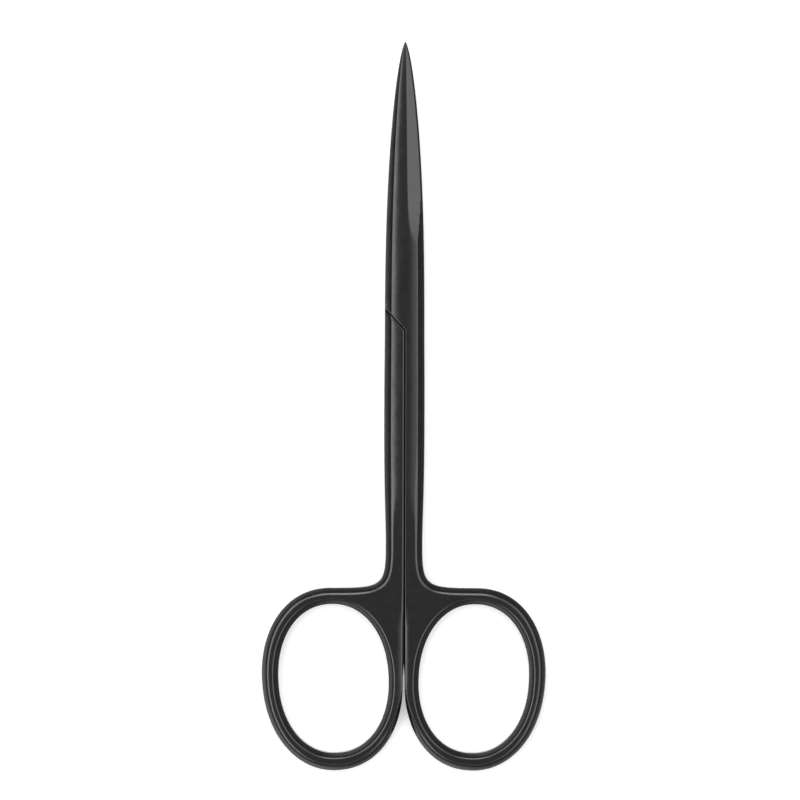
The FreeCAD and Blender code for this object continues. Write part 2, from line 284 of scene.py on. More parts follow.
before, after = len(seam_run) - 1, len(corner_run)
past_foot = np.arange(len(handle_run)) > before + ring_points_to_foot
opening = ease((bevel_start_y - handle_run[:, 1]) / (bevel_start_y - bevel_full_y))
handle_opening = np.where(past_foot, 1.0, opening)
rise = ease((ring_angles - 360.0) / (top_angle - 360.0))
handle_rise = np.concatenate([np.zeros(before), rise[:-1], np.ones(after)])
handle_bevel = ring_bevel + (waist_bevel - ring_bevel) * handle_rise
handle_steepness = ring_steepness + (1.0 - ring_steepness) * handle_rise
handle_steepness += (bevel_start_steepness - ring_steepness) * (1.0 - handle_opening**2)
print("bevel of the ring and of the waist", ring_bevel, round(waist_bevel, 2))

# %% [markdown]
# ## The height rule
#
# Over the plan, the outer surface is a height: the crown, the bevels and the ground face are
# simple surfaces, and at each point the lowest one is the real one. A soft minimum takes a little
# off where two of them meet, and that is the rounded ridge. Because the rule is a formula, its
# slope gives exact normals, so reflections run smoothly whatever the triangles look like.

# %% Soft minimum, bevel and rounded edge
bevel_fullness = 0.8


def soft_min(a, b, softness):
    blend = np.maximum(softness - np.abs(a - b), 0.0) / softness
    return np.minimum(a, b) - blend * blend * softness / 4.0


def bevel_drop(distance, width, depth):
    """Fall of a full bevel, below its ridge, at a distance from the outline."""
    t = 1.0 - distance / width
    full = bevel_fullness * t + (1.0 - bevel_fullness) * t * t
    return depth * np.where(t > 0.0, full, bevel_fullness * t)


def round_drop(distance, width, end_angle=math.radians(89.0)):
    """Fall of an edge rounded by an arc, which ends at an angle to the level."""
    radius = width / math.sin(end_angle)
    inside = np.clip(width - distance, 0.0, width)
    return radius - np.sqrt(radius * radius - inside * inside)


print("fall of a full bevel half-way across", round(float(bevel_drop(0.5, 1.0, 1.0)), 2))

# %% [markdown]
# The bevels and rounded edges follow an outline, so their rules need each point's distance to
# it. Blender could find nearest points on a curve too, but here a short loop over the segments
# gives the exact distance and also the place along the run, from which the bevel's width is read.

# %% Distance to an outline
def distance_to(points, run, closed=False):
    """Distance to a run of points, with the place along it as a share of its segments."""
    a = run
    b = np.roll(run, -1, axis=0)
    if not closed:
        a, b = a[:-1], b[:-1]
    best = np.full(len(points), np.inf)
    place = np.zeros(len(points))
    for i in range(len(a)):
        along = b[i] - a[i]
        t = np.clip(((points - a[i]) @ along) / (along @ along), 0.0, 1.0)
        gap = np.hypot(*(points - a[i] - t[:, None] * along).T)
        nearer = gap < best
        best = np.where(nearer, gap, best)
        place = np.where(nearer, i + t, place)
    return best, place


ring_width, _ = distance_to(hole_run, ring_run)
print("least width of the ring in plan", round(ring_width.min(), 2))

# %% [markdown]
# ## The cutting edge
#
# The front blade's right side is ground to a long, flat face that ends in a rounded heel. It
# meets the outer crown in a crisp line. The very edge falls steeply to the inner face. Towards
# the joint the edge swings out to the blade's full width. A knife cut through a finished mesh
# would give the same line, but as one more height the ground face needs no cut at all.

# %% Edge and lip
edge_setback, edge_softness = 0.32, 0.35
flare_start, flare_end, flare_overrun = 8.5, 4.0, 0.1


def blade_edge(y):
    """Places of the cutting edge and of the lip of the ground face."""
    width = half_width(y)
    strip = edge_setback * width / (width + edge_softness)
    flare = ease((flare_start - y) / (flare_start - flare_end))
    edge = width - strip / 2.0 + (strip / 2.0 + flare_overrun * width) * flare
    return edge, edge - strip / 2.0


print("edge and lip at mid-blade", [round(float(v), 2) for v in blade_edge(np.array(18.0))])

# %% [markdown]
# The line between crown and ground face runs up the blade nearly straight and swings out at the
# heel. Below the heel there is no ground face, so its rule gives a height that nothing reaches.

# %% The ground face
facet_slope, facet_heel_slope = 18.0, 12.5
facet_full_y, facet_heel_y = 14.0, 6.0
facet_share, facet_swing, facet_heel, facet_softness = 0.115, 12.0, 3.0, 0.8
edge_fall = math.tan(math.radians(40.0))
out_of_reach = 9.0


def facet_start(y):
    return half_width(y) * facet_share + facet_swing / ((y - facet_heel) ** 2 + facet_softness)


def facet_height(x, y):
    """Heights of the ground face and of the steep strip at the edge."""
    start = facet_start(y)
    ground = ease((y - facet_heel_y) / (facet_full_y - facet_heel_y))
    fall = np.tan(np.radians(facet_heel_slope + (facet_slope - facet_heel_slope) * ground))
    reach = np.minimum(start, ridge_reach(y))
    start_height = top_height(y) - crown_drop(y) * (reach / ridge_reach(y)) ** 2
    plane = start_height - (x - start) * fall
    edge, lip = blade_edge(y)
    lip_height = start_height - (lip - start) * fall
    relief = np.maximum(lip_height - (x - lip) * edge_fall, face_clearance)
    return np.where(y > flare_end, plane, out_of_reach), np.where(y > flare_end, relief, out_of_reach)


print("ground face starts at mid-blade", round(float(facet_start(np.array(18.0))), 2))

# %% [markdown]
# ## The outer surface
#
# The bar takes crown, bevels and a small round at its very edge. The ridges are crisp on the
# blade and get softer down the shank, where hand polishing has worn them more.

# %% Height of the bar
blade_softness, handle_softness = 0.04, 0.19
soft_start, soft_end = -24.0, -38.0
foot_round = 0.06


def bar_height(x, y):
    width = half_width(y)
    small = np.where(y > full_width_y, width / joint_half_width, 1.0)
    ridge = ridge_reach(y)
    across = np.abs(x)
    crown = top_height(y) - crown_drop(y) * (across / ridge) ** 2
    shoulder = top_height(y) - crown_drop(y)
    bevel = shoulder - bevel_drop(width - across, width - ridge, (width - ridge) * bevel_fall)
    worn = ease((soft_start - y) / (soft_start - soft_end))
    softness = blade_softness + (handle_softness - blade_softness) * worn
    height = soft_min(crown, bevel, softness * small)
    return height - round_drop(width - across, foot_round * small)


print("height of the shank's ridge", round(float(bar_height(ridge_reach(-20.0), np.array(-20.0))), 2))

# %% [markdown]
# The handle is flat, with the outer bevel along its outline and an inner bevel round the finger
# hole. Along the seam the rounded edge and the dip of the web take the bevel's place.

# %% Height of the handle
hole_softness, least_bevel, bevel_onset = 0.13, 0.02, 5.0


def handle_height(points, side):
    """Height of the handle. Along the seam its edge is rounded, and past it the bevel opens."""
    gap, place = distance_to(points, handle_run)
    steps = np.arange(len(handle_run))
    opened = np.interp(place, steps, handle_opening)
    width = np.maximum(np.interp(place, steps, handle_bevel) * opened, least_bevel)
    fall = width * bevel_fall * np.interp(place, steps, handle_steepness)
    bevel = half_thickness - bevel_drop(gap, width, fall) - round_drop(gap, foot_round)
    bevel = soft_min(np.full_like(bevel, half_thickness), bevel, handle_softness)
    dip = web_dip[side] * np.maximum(1.0 - gap / web_dip_reach[side], 0.0) ** 2
    dip = dip * ease((web_dip_start - points[:, 1]) / (web_dip_start - web_dip_full)) * (1.0 - opened)
    rounded = half_thickness - round_drop(gap, seam_round[side], seam_round_end[side]) - dip
    share = np.minimum(opened * bevel_onset, 1.0)
    outer = rounded + (np.minimum(rounded, bevel) - rounded) * share
    hole_gap, _ = distance_to(points, hole_run, closed=True)
    inner = half_thickness - bevel_drop(hole_gap, hole_bevel, hole_bevel * bevel_fall * ring_steepness)
    inner = inner - round_drop(hole_gap, foot_round)
    return soft_min(outer, inner, hole_softness)


web_middle = np.array([[3.0, -50.0]])
print("height of the web's middle", handle_height(web_middle, 1).round(2))

# %% [markdown]
# Below the waist the handle's rule holds, above it the bar's. The blade's side has the ground
# face as well, which cuts everything above it away.

# %% The whole outer surface
facet_ridge_softness = 0.012


def outer_surface(points, side):
    """Height of the outer surface. Side 1 carries the blade, side -1 only the shank below the lap."""
    x, y = points[:, 0], points[:, 1]
    on_handle = y < -waist_drop
    height = np.zeros(len(points))
    if on_handle.any():
        height[on_handle] = handle_height(points[on_handle], side)
    bar = ~on_handle
    bar_x, bar_y = x[bar], np.minimum(y[bar], tip_y)
    value = bar_height(bar_x, bar_y)
    gap, _ = distance_to(points[bar], paths[side])
    value = value - round_drop(gap, seam_round[side], seam_round_end[side])
    if side > 0:
        plane, relief = facet_height(bar_x, bar_y)
        value = np.minimum(soft_min(value, plane, facet_ridge_softness), relief)
    height[bar] = np.maximum(value, face_clearance)
    return height


print("height over the screw", outer_surface(np.zeros((1, 2)), 1).round(2))

# %% [markdown]
# The inner face of a real blade is hollow ground, so that only the edge and the spine touch. It
# is a shallow barrel along the blade, deepest half-way up. The normals of all these surfaces are
# read from their slope, by looking a step to each side.

# %% Inner surface and normals
hollow_radius, hollow_depth, hollow_shift = 22.0, 0.06, 0.25
hollow_start, hollow_end = 6.0, 30.0
slope_step = 0.002


def inner_surface(points, side=1):
    """Height of the blade's inner face."""
    middle, reach = (hollow_start + hollow_end) / 2.0, (hollow_end - hollow_start) / 2.0
    bow = np.maximum(1.0 - ((points[:, 1] - middle) / reach) ** 2, 0.0) * hollow_depth
    barrel = np.sqrt((hollow_radius + bow) ** 2 - (points[:, 0] + hollow_shift) ** 2) - hollow_radius
    return face_clearance + np.maximum(barrel, 0.0)


def slope_normals(surface, points, side):
    """Upward normals from the slope of a height rule."""
    right = surface(points + (slope_step, 0.0), side) - surface(points - (slope_step, 0.0), side)
    up = surface(points + (0.0, slope_step), side) - surface(points - (0.0, slope_step), side)
    slopes = [-right / (2 * slope_step), -up / (2 * slope_step), np.ones(len(points))]
    normals = np.stack(slopes, axis=-1)
    return normals / np.linalg.norm(normals, axis=1)[:, None]


print("depth of the hollow", inner_surface(np.array([[0.0, 18.0]])).round(3))

# %% [markdown]
# ## From plan to mesh
#
# Each face is a flat drawing first: its outline, plus points that lie close together where the
# surface curves. A constrained Delaunay triangulation joins them, and the height rule lifts them.
# Walls join the outer edges of the faces. Points that fall on the same spot become one. An even
# grid would be simpler, but it would need far more triangles to keep the outlines sharp.
#
# Every line of points along the bar uses the same stations, so that neighbouring outlines share
# their corners.

# %% Stations along the bar
row_steps = ((-waist_drop, 2.0, 0.6), (2.0, 13.0, 0.3), (13.0, 33.0, 0.6), (33.0, 36.8, 0.3))
tip_rows = [36.9, 37.05, 37.2, 37.3, 37.4, tip_y]
row_margin = 0.02
all_rows = np.concatenate([np.arange(*steps) for steps in row_steps] + [tip_rows])


def bar_rows(low, high):
    """Stations between two places, closer at the tip and at the heel of the ground face."""
    return all_rows[(all_rows > low + row_margin) & (all_rows < high - row_margin)]


def right_side(rows):
    edge, _ = blade_edge(rows)
    return np.minimum(half_width(rows), np.where(rows > flare_end, edge, out_of_reach))


def right_run(low, high):
    """The right side, from below upwards."""
    rows = bar_rows(low, high)
    return np.stack([right_side(rows), rows], axis=-1)


def left_run(low, high):
    """The left side, from above downwards."""
    rows = bar_rows(low, high)[::-1]
    return np.stack([-half_width(rows), rows], axis=-1)


def seam_points(low, high):
    """The straight seam, from above downwards."""
    rows = bar_rows(low, high)[::-1]
    return np.stack([np.full(len(rows), seam_clearance), rows], axis=-1)


print("stations", len(all_rows))

# %% [markdown]
# The slanting lap leaves the bar at its side. The place is found by halving a stretch of the line
# fifty times, each time keeping the half in which the line crosses the outline.

# %% Points of the lap
halvings, lap_spacing = 50, 0.2


def lap_end(side):
    """The point where the lap leaves the bar at its side."""
    a, b = paths[side][-2], paths[side][-1]
    low, high = 0.0, 1.0
    for _ in range(halvings):
        t = (low + high) / 2.0
        spot = a + (b - a) * t
        if abs(spot[0]) < half_width(spot[1]):
            low = t
        else:
            high = t
    return a + (b - a) * low


def lap_points(side):
    """The lap from the bar's side to the start of the seam."""
    a, b = ends[side], paths[side][-2]
    count = int(np.linalg.norm(b - a) / lap_spacing)
    straight = [a + (b - a) * i / count for i in range(count)]
    return np.array(straight + list(paths[side][-2:0:-1]))


ends = {side: lap_end(side) for side in (1, -1)}
lap = {side: lap_points(side) for side in (1, -1)}
print("lap leaves the bar at", ends[1].round(2), ends[-1].round(2))

# %% [markdown]
# Three closed loops bound the faces of a half: the outer face with the blade, the outer face of
# the shank's other side, and the inner face of the blade.

# %% Outlines of the faces
tip_left = np.array([-half_width(np.array(tip_y)), tip_y])
tip_right = np.array([right_side(np.array(tip_y)), tip_y])
upper_loop = np.concatenate([[tip_left], left_run(ends[1][1], tip_y), lap[1],
                             seam_points(-waist_drop, lap[1][-1][1]), handle_run,
                             right_run(-waist_drop, tip_y), [tip_right]])
lower_loop = np.concatenate([lap[-1], seam_points(-waist_drop, lap[-1][-1][1]), handle_run,
                             right_run(-waist_drop, ends[-1][1])])
inner_loop = np.concatenate([[tip_left], left_run(ends[1][1], tip_y), lap[1], lap[-1][::-1],
                             right_run(ends[-1][1], tip_y), [tip_right]])
print("outline points", len(upper_loop), len(lower_loop), len(inner_loop))

# %% [markdown]
# Inside the outlines the points follow the ridges. A run of points that is moved inwards gives
# lines that stay beside an outline. A point is inside a loop if a line from it to the right
# crosses the loop an odd number of times, and all others are dropped.

# %% Points inside an outline
def inside(points, loop):
    """Which points lie inside a closed outline."""
    x, y = points[:, 0], points[:, 1]
    count = np.zeros(len(points), int)
    for (x1, y1), (x2, y2) in zip(loop, np.roll(loop, -1, axis=0)):
        crosses = (y1 > y) != (y2 > y)
        if crosses.any():
            at = x1 + (y - y1) / (y2 - y1 if y2 != y1 else 1.0) * (x2 - x1)
            count += crosses & (x < at)
    return count % 2 == 1


def along_run(run, distances, closed=False):
    """Copies of a run, moved inwards to the left of its direction by each distance."""
    before = np.roll(run, 1, axis=0)
    after = np.roll(run, -1, axis=0)
    if not closed:
        before[0], after[-1] = run[0], run[-1]
    along = after - before
    normal = np.stack([-along[:, 1], along[:, 0]], axis=-1) / np.linalg.norm(along, axis=1)[:, None]
    copies = []
    for distance in distances:
        copies.append(run + normal * (distance[:, None] if np.ndim(distance) else distance))
    return copies


print("hole's middle inside the hole", inside(np.array([hole_centre]), hole_run))

# %% [markdown]
# Across the bar the points are closest at the ridges, where the reflections turn. Three lines
# follow the start of the ground face and three its lip and edge.

# %% Points of the bar
bar_shares = np.array([0.0, 0.12, 0.24, 0.36, 0.46, 0.54, 0.59, 0.62, 0.64, 0.655, 0.67, 0.685, 0.7,
                       0.72, 0.76, 0.82, 0.88, 0.93, 0.965, 0.985, 0.995])
facet_line_gap, lip_line_gap = 0.03, 0.02


def bar_points():
    shares = np.concatenate([-bar_shares[:0:-1], bar_shares])
    rows = all_rows[:-1]
    grid = [np.stack([half_width(rows) * share, rows], axis=-1) for share in shares]
    ground = rows[rows > flare_end]
    edge, lip = blade_edge(ground)
    start = facet_start(ground)
    for line in (start - facet_line_gap, start, start + facet_line_gap,
                 lip - lip_line_gap, lip, (lip + edge) / 2.0):
        grid.append(np.stack([line, ground], axis=-1))
    return np.concatenate(grid)


print("points of the bar", len(bar_points()))

# %% [markdown]
# Beside the lap and the seam, round the hole and along the handle's outline, lines of points lie
# at growing distances from the edge.

# %% Points of an outer face
seam_steps = np.array([0.004, 0.015, 0.04, 0.08, 0.14, 0.21, 0.28, 0.34, 0.4])
bevel_steps = (0.005, 0.02, 0.05, 0.1, 0.25, 0.45, 0.65, 0.8, 0.9, 0.96, 1.0, 1.04, 1.1, 1.2, 1.35)
web_steps = (0.03, 0.08, 0.14, 0.22, 0.3, 0.4, 0.5, 0.6, 0.7, 0.8, 0.95, 1.1, 1.25, 1.4)
seam_margin, path_margin, ring_points_beside_web = 0.06, 0.002, 40


def face_points(loop, side):
    """All points inside one outer face."""
    grid = bar_points()
    gap, _ = distance_to(grid, paths[side])
    groups = [grid[gap > seam_steps[-1] + seam_margin]]
    chain = np.concatenate([lap[side], seam_points(-waist_drop, lap[side][-1][1])])
    for run in along_run(chain, seam_steps):
        gap, _ = distance_to(run, paths[side])
        groups.append(run[gap > path_margin])
    width = seam_round[-1] + (handle_bevel - seam_round[-1]) * handle_opening
    groups += along_run(handle_run, [width * step for step in bevel_steps])
    groups += along_run(handle_run[:len(seam_run) + ring_points_beside_web], web_steps)
    groups += along_run(hole_run[::-1], [hole_bevel * step for step in bevel_steps], closed=True)
    points = np.concatenate(groups)
    return points[inside(points, loop)]


face_grids = {1: face_points(upper_loop, 1), -1: face_points(lower_loop, -1)}
print("points inside the outer faces", len(face_grids[1]), len(face_grids[-1]))

# %% [markdown]
# ## The shell
#
# A shell collects corners, faces and the normal of every face corner. It welds equal corners, so
# the faces and walls close into one skin. Its surfaces are triangulated from the plan and lifted
# by a height rule. Its walls stand under a run of points.

# %% Corners, faces and the finished piece
weld_digits = 4


class Skin:
    def __init__(self):
        self.corners, self.index, self.faces, self.normals = [], {}, [], []

    def corner(self, place):
        key = tuple(np.round(place, weld_digits))
        if key not in self.index:
            self.index[key] = len(self.corners)
            self.corners.append(key)
        return self.index[key]

    def face(self, places, normals):
        """A face whose equal corners are welded. One that shrinks to a line is left out."""
        ids = [self.corner(place) for place in places]
        keep = [i for i in range(len(ids)) if ids[i] != ids[i - 1]]
        different = len(set(ids[i] for i in keep))
        if different < 3 or different < len(keep):
            return
        self.faces.append([ids[i] for i in keep])
        self.normals.extend(tuple(normals[i]) for i in keep)

    def piece(self, name):
        """The collected faces as a Blender object, with their own normals."""
        mesh = bpy.data.meshes.new(name)
        mesh.from_pydata([tuple(v * mm for v in corner) for corner in self.corners], [], self.faces)
        mesh.update()
        mesh.polygons.foreach_set("use_smooth", [True] * len(mesh.polygons))
        mesh.normals_split_custom_set(self.normals)
        piece = bpy.data.objects.new(name, mesh)
        scene.collection.objects.link(piece)
        return piece


print("corners nearer than", 10.0**-weld_digits, "mm are welded")


# %% Surfaces and walls
merge_distance = 0.0008


class Shell(Skin):
    def surface(self, loop, holes, points, surface, side, sign, up):
        """A face over the plan: triangulated, lifted by a height rule times sign."""
        loops = [loop] + holes
        edges, start = [], 0
        for run in loops:
            edges += [(start + i, start + (i + 1) % len(run)) for i in range(len(run))]
            start += len(run)
        plan = [Vector(p) for p in np.concatenate(loops + [points])]
        flat, _, triangles, *_ = delaunay_2d_cdt(plan, edges, [], 1, merge_distance)
        flat = np.array([tuple(p) for p in flat])
        triangles = np.array(triangles)
        for hole in holes:
            triangles = triangles[~inside(flat[triangles].mean(axis=1), hole)]
        places = np.column_stack([flat, sign * surface(flat, side)])
        normals = slope_normals(surface, flat, side) * (1.0, 1.0, sign)
        if not up:
            normals = -normals
        facing_up = normals[0][2] > 0
        for a, b, c in triangles:
            order = (a, b, c) if facing_up else (a, c, b)
            self.face([places[i] for i in order], [normals[i] for i in order])

    def wall(self, run, top, foot, closed=False):
        """A wall under a run of plan points, facing to the right of its direction."""
        after = np.roll(run, -1, axis=0)
        before = np.roll(run, 1, axis=0)
        if not closed:
            after[-1], before[0] = run[-1], run[0]
        along = after - before
        out = np.column_stack([along[:, 1], -along[:, 0], np.zeros(len(run))])
        out /= np.linalg.norm(out, axis=1)[:, None]
        for i in range(len(run) if closed else len(run) - 1):
            j = (i + 1) % len(run)
            places = [(*run[i], foot[i]), (*run[j], foot[j]), (*run[j], top[j]), (*run[i], top[i])]
            self.face(places, [out[i], out[j], out[j], out[i]])


print("points nearer than", merge_distance, "mm are one in a triangulation")

# %% [markdown]
# ## The two halves
#
# A half is made of the outer face on the blade's side, the outer face of the shank's other side,
# the inner face of the blade, and walls between them. The screw goes through a stepped hole in
# the rear half, whose wide part takes the head, and into a blind hole in the front half.

# %% Round holes for the screw
hole_margin = {"seat": 0.02, "bore": 0.05}
no_points = np.zeros((0, 2))


def circle(radius, count=48):
    turn = np.linspace(0.0, 2.0 * math.pi, count + 1)[:-1]
    return np.stack([radius * np.cos(turn), radius * np.sin(turn)], axis=-1)


def level(height):
    """A height rule for a flat floor."""
    return lambda points, side: np.full(len(points), height)


def screw_hole(shell, seat, seat_height, bore, bore_height):
    """A seat for the head with a bore through its floor, or else a blind bore."""
    if len(seat):
        rim, floor = outer_surface(seat, 1), np.full(len(seat), seat_height)
        shell.wall(seat[::-1], rim[::-1], floor, closed=True)
        shell.surface(seat, [bore], no_points, level(seat_height), 1, 1, True)
        shell.wall(bore[::-1], floor, inner_surface(bore), closed=True)
    else:
        shell.surface(bore, [], no_points, level(bore_height), 1, 1, False)
        roof = np.full(len(bore), bore_height)
        shell.wall(bore[::-1], roof, inner_surface(bore), closed=True)


print("corners of a round hole", len(circle(1.0)))

# %% [markdown]
# Along the seam one could look between the two shanks at the white table. A narrow land half-way
# down each shank reaches across the gap, one just above the other, and keeps the seam dark. It
# ends where the rings part.

# %% The land in the seam
land_crest, land_root, land_low, land_high = -0.02, 0.3, 0.03, 1.1
land_path = [(land_crest, -7.9), (land_crest, -60.5), (ring_clearance + 0.02, -63.0)]


def seam_land(shell):
    """A wedge beside the seam, from the shank's wall to its crest. The other half's lies below."""
    sections = []
    for x, y in land_path:
        sections.append([Vector((x, y, land_low)), Vector((land_root, y, land_high)),
                         Vector((land_root, y, land_low))])
    faces = [sections[0], sections[-1][::-1]]
    for a, b in zip(sections, sections[1:]):
        faces += [[a[i], b[i], b[i - 2], a[i - 2]] for i in range(3)]
    for corners in faces:
        normal = (corners[1] - corners[0]).cross(corners[2] - corners[1]).normalized()
        shell.face([tuple(corner) for corner in corners], [normal] * len(corners))


print("land runs from y", land_path[0][1], "to", land_path[-1][1])

# %% [markdown]
# The walls come next. One goes round the blade between its outer and inner face, one joins the
# steps of the lap, one follows seam, handle and shank through the whole thickness, and one
# lines the finger hole. The rims of each wall are read from the same height rules as the faces,
# so they meet corner on corner.

# %% Walls of a half
def half_walls(shell):
    blade = np.concatenate([[ends[-1]], right_run(ends[-1][1], tip_y), [tip_right], [tip_left],
                            left_run(ends[1][1], tip_y), lap[1]])
    shell.wall(blade, outer_surface(blade, 1), inner_surface(blade))
    step = lap[-1][::-1]
    shell.wall(step, inner_surface(step), -outer_surface(step, -1))
    seam = np.concatenate([[lap[1][-1]], [lap[-1][-1]], seam_points(-waist_drop, lap[-1][-1][1])])
    outer = np.concatenate([seam, handle_run, right_run(-waist_drop, ends[-1][1]), [ends[-1]]])
    foot = -outer_surface(outer, -1)
    foot[0] = face_clearance
    shell.wall(outer, outer_surface(outer, 1), foot)
    rim = outer_surface(hole_run, 1)
    shell.wall(hole_run[::-1], rim[::-1], -rim[::-1], closed=True)


print("points round the finger hole", len(hole_run))

# %% [markdown]
# Now a whole half can be put together. The inner face is plain, so every third point of the bar
# is enough there. The front half is the first one. It is built about the plane between the halves
# and then lifted, because the scissors rest on the rear half.

# %% Skin of one half
inner_thinning = 3


def half_shell(seat_radius, seat_height, bore_radius, bore_height):
    """The skin of a half. A seat opens the outer face down to a level, a bore the inner face."""
    shell = Shell()
    bore = circle(bore_radius)
    seat = circle(seat_radius) if seat_radius else no_points
    points = face_grids[1]
    if seat_radius:
        points = points[np.hypot(*points.T) > seat_radius + hole_margin["seat"]]
    screw_hole(shell, seat, seat_height, bore, bore_height)
    outer_holes = [hole_run, seat] if seat_radius else [hole_run]
    shell.surface(upper_loop, outer_holes, points, outer_surface, 1, 1, True)
    shell.surface(lower_loop, [hole_run], face_grids[-1], outer_surface, -1, -1, True)
    plain = bar_points()[::inner_thinning]
    plain = plain[inside(plain, inner_loop) & (np.hypot(*plain.T) > bore_radius + hole_margin["bore"])]
    shell.surface(inner_loop, [bore], plain, inner_surface, 1, 1, False)
    half_walls(shell)
    seam_land(shell)
    return shell


front_bore_radius, front_bore_depth = 1.02, 1.25
front = half_shell(0.0, 0.0, front_bore_radius, front_bore_depth).piece("front_half_skin")
for corner in front.data.vertices:
    corner.co.z += half_thickness * mm
print("front half", len(front.data.vertices), "corners", len(front.data.polygons), "faces")

# %% [markdown]
# The rear half is the same forging turned over about the long axis: left and right change places,
# and so do top and bottom. A copy of the front half wouldn't do, because only the rear half has a
# seat for the screw's head. A mesh keeps its own normals as they are, so they are turned as well.

# %% Rear half, turned over
head_seat_radius, head_seat_depth, rear_bore_radius = 1.8, 0.77, 1.22
rear_shell = half_shell(head_seat_radius, half_thickness - head_seat_depth, rear_bore_radius, 0.0)
rear = rear_shell.piece("rear_half_skin")
turned = [(-n[0], n[1], -n[2]) for n in (tuple(c.vector) for c in rear.data.corner_normals)]
for corner in rear.data.vertices:
    corner.co = (-corner.co.x, corner.co.y, half_thickness * mm - corner.co.z)
rear.data.normals_split_custom_set(turned)
print("rear half", len(rear.data.vertices), "corners", len(rear.data.polygons), "faces")

# %% The skins take the place of the CAD halves
for piece, body in ((front, "front_half"), (rear, "rear_half")):
    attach(piece, body)
    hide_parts(body)
    print(piece.name, "moves with", body)

# %% [markdown]
# ## Black coat
#
# The coat is thin, hard and nearly black, so what one sees is its gloss. The colour is set almost
# to black, and the roughness varies a little, as on a coat over polished steel. Two bumps are
# added: a fine grain of some hundredths of a millimetre, and a slow waviness from hand polishing
# that makes the reflections on the bevels cloudy. A picture of scratches could do the same, but
# noise needs no file and no unwrapping. Three small helpers keep the node tree readable.

# %% Helpers for a node tree
def noise(tree, place, scale, detail):
    """A cloudy pattern fixed to the object."""
    node = tree.nodes.new("ShaderNodeTexNoise")
    node.inputs["Scale"].default_value = scale
    node.inputs["Detail"].default_value = detail
    tree.links.new(place, node.inputs["Vector"])
    return node.outputs["Fac"]


def spread(tree, value, low, high):
    """Noise stays mostly between 0.3 and 0.7. This spreads it from low to high."""
    node = tree.nodes.new("ShaderNodeMapRange")
    node.inputs["From Min"].default_value = 0.3
    node.inputs["From Max"].default_value = 0.7
    node.inputs["To Min"].default_value = low
    node.inputs["To Max"].default_value = high
    tree.links.new(value, node.inputs["Value"])
    return node.outputs["Result"]


def bump(tree, value, height, below=None):
    """A bump of a height in metres, on top of another one."""
    node = tree.nodes.new("ShaderNodeBump")
    node.inputs["Strength"].default_value = 1.0
    node.inputs["Distance"].default_value = height
    tree.links.new(value, node.inputs["Height"])
    if below:
        tree.links.new(below, node.inputs["Normal"])
    return node.outputs["Normal"]


print("helpers", noise.__name__, spread.__name__, bump.__name__)


# %% Coat material
tone_spread, roughness_spread, gloss = 0.25, 0.03, 0.75
tone_scale, roughness_scale, wave_scale, grain_scale = 420.0, 900.0, 330.0, 26000.0


def coat(name, colour, roughness, wave_height, grain_height):
    """The black coat. Returns the material, its place socket and its uppermost bump."""
    material = bpy.data.materials.new(name)
    material.use_nodes = True
    tree = material.node_tree
    shader = tree.nodes["Principled BSDF"]
    shader.inputs["Specular IOR Level"].default_value = gloss
    place = tree.nodes.new("ShaderNodeTexCoord").outputs["Object"]
    tone = tree.nodes.new("ShaderNodeMix")
    tone.data_type = "RGBA"
    tone.inputs["A"].default_value = (*[c * (1.0 - tone_spread) for c in colour], 1.0)
    tone.inputs["B"].default_value = (*[c * (1.0 + tone_spread) for c in colour], 1.0)
    tree.links.new(spread(tree, noise(tree, place, tone_scale, 3.0), 0.0, 1.0), tone.inputs["Factor"])
    tree.links.new(tone.outputs["Result"], shader.inputs["Base Color"])
    haze = noise(tree, place, roughness_scale, 4.0)
    matt = spread(tree, haze, roughness - roughness_spread, roughness + roughness_spread)
    tree.links.new(matt, shader.inputs["Roughness"])
    wave = bump(tree, noise(tree, place, wave_scale, 1.0), wave_height)
    grain = bump(tree, noise(tree, place, grain_scale, 2.0), grain_height, wave)
    tree.links.new(grain, shader.inputs["Normal"])
    return material, place, grain


black_coat, _, _ = coat("black_coat", (0.0034, 0.0034, 0.0038), 0.2, 0.025 * mm, 0.0006 * mm)
for piece in (front, rear):
    piece.data.materials.append(black_coat)
print(black_coat.name, "on", front.name, "and", rear.name)

# %% [markdown]
# ## The screw
#
# The screw has the same coat, but its head was turned on a lathe, and fine rings from the tool
# still show through. The rings are a wave texture about the screw's axis. The screw keeps its
# solid, and only its material is set.

# %% Screw material
screw_coat, place, grain = coat("screw_coat", (0.006, 0.006, 0.0065), 0.24, 0.01 * mm, 0.0006 * mm)
tree = screw_coat.node_tree
rings = tree.nodes.new("ShaderNodeTexWave")
rings.wave_type = "RINGS"
rings.rings_direction = "Z"
rings.inputs["Scale"].default_value = 2500.0
rings.inputs["Distortion"].default_value = 0.4
tree.links.new(place, rings.inputs["Vector"])
lathe = bump(tree, rings.outputs["Fac"], 0.004 * mm, grain)
tree.links.new(lathe, tree.nodes["Principled BSDF"].inputs["Normal"])
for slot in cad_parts["pivot_screw"].material_slots:
    slot.material = screw_coat
    print(slot.material.name, "on the pivot screw")

# %% [markdown]
# ## Table
#
# The table is plain and white. The camera, and a ray that was mirrored or went through something,
# see it a little lighter than it is, so that the shadow stays soft, as on a light table. Diffuse
# rays don't see that, so it adds no light to the scissors' own colour.

